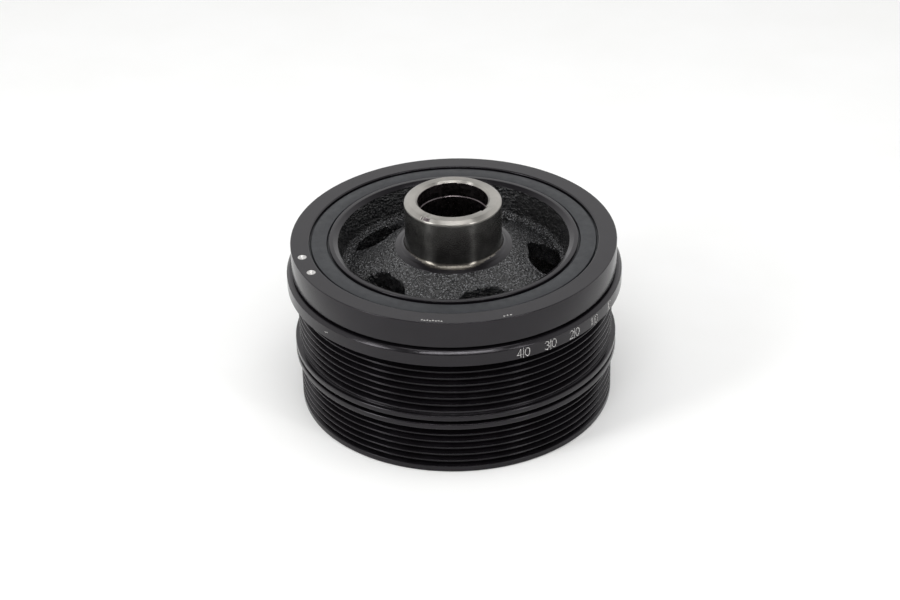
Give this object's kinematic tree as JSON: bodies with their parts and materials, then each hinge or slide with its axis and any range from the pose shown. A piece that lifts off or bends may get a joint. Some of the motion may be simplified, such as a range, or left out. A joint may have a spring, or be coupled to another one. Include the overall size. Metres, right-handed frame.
{
  "type": "harmonic balancer",
  "caption": "Crankshaft harmonic balancer: windowed hub with keyed bore and seal journal, rubber ring and grooved inertia ring, with two poly-V belt tracks.",
  "frame": {"origin": "on the crankshaft axis in the front face, on which the part rests", "axes": "+Z along the crankshaft axis towards the engine, out of the snout; +X and +Y across it, with the keyway at -34.4 degrees from +X"},
  "size_m": [0.156, 0.156, 0.1013],
  "materials": {
    "hub_iron": "black painted cast iron, satin, sand-cast web",
    "journal_steel": "bare machined iron, ground journal and bore",
    "damper_rubber": "smooth moulded black rubber",
    "painted_ring": "black electrocoated turned iron, satin",
    "engraving": "stamped marks that show bare metal"
  },
  "bodies": {
    "root": {"hub": "hub_iron", "rubber_ring": "damper_rubber", "inertia_ring": "painted_ring"}
  },
  "joints": []
}
